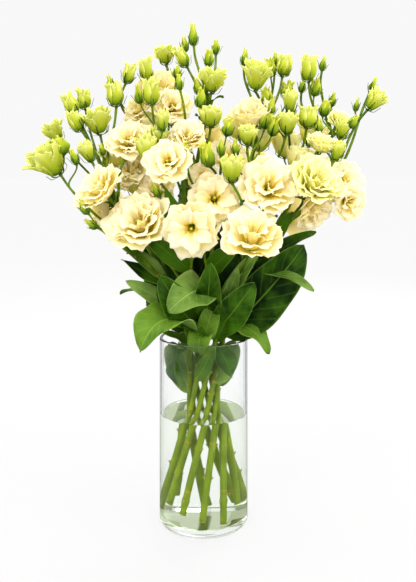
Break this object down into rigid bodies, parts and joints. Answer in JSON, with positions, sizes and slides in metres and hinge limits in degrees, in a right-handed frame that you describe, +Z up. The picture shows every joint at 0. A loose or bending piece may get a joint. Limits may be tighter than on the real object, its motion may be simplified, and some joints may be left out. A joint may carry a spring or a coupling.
{
  "type": "lisianthus bouquet in a glass vase",
  "caption": "Bouquet of double cream lisianthus with lime buds, leafy green stems and forked stalks, standing in water in a clear glass cylinder vase.",
  "frame": {"origin": "centre of the vase's underside, on the surface it rests on", "axes": "+Z up along the vase's axis, -Y towards the front of the bouquet, +X to the right as seen from the front"},
  "size_m": [0.4199, 0.2369, 0.5696],
  "materials": {
    "glass": "clear, polished",
    "water": "clear liquid",
    "green": "living stems and leaves, half matt",
    "cream": "soft petals",
    "lime": "soft furled petals"
  },
  "bodies": {
    "root": {"glass_vase": "glass", "water": "water", "stem_front": "green", "stem_front_right": "green", "stem_right": "green", "stem_far_right": "green", "stem_back_right": "green", "stem_back": "green", "stem_tall": "green", "stem_back_left": "green", "stem_far_left": "green", "stem_front_left": "green", "bloom_01": "cream", "bloom_02": "cream", "bloom_03": "cream", "bloom_04": "cream", "bloom_05": "cream", "bloom_06": "cream", "bloom_07": "cream", "bloom_08": "cream", "bloom_09": "cream", "bloom_10": "cream", "bloom_11": "cream", "bloom_12": "cream", "bloom_13": "cream", "bloom_14": "cream", "bloom_15": "cream", "bloom_16": "cream", "bloom_17": "cream", "bloom_18": "cream", "bloom_19": "cream", "bloom_20": "cream", "bloom_21": "cream", "bloom_22": "cream", "bloom_23": "cream", "bloom_24": "cream", "bloom_25": "cream", "bloom_26": "cream", "bloom_27": "cream", "bloom_28": "cream", "bloom_29": "cream", "bloom_30": "cream", "bud_01": "lime", "bud_02": "lime", "bud_03": "lime", "bud_04": "lime", "bud_05": "lime", "bud_06": "lime", "bud_07": "lime", "bud_08": "lime", "bud_09": "lime", "bud_10": "lime", "bud_11": "lime", "bud_12": "lime", "bud_13": "lime", "bud_14": "lime", "bud_15": "lime", "bud_16": "lime", "bud_17": "lime", "bud_18": "lime"}
  },
  "joints": []
}
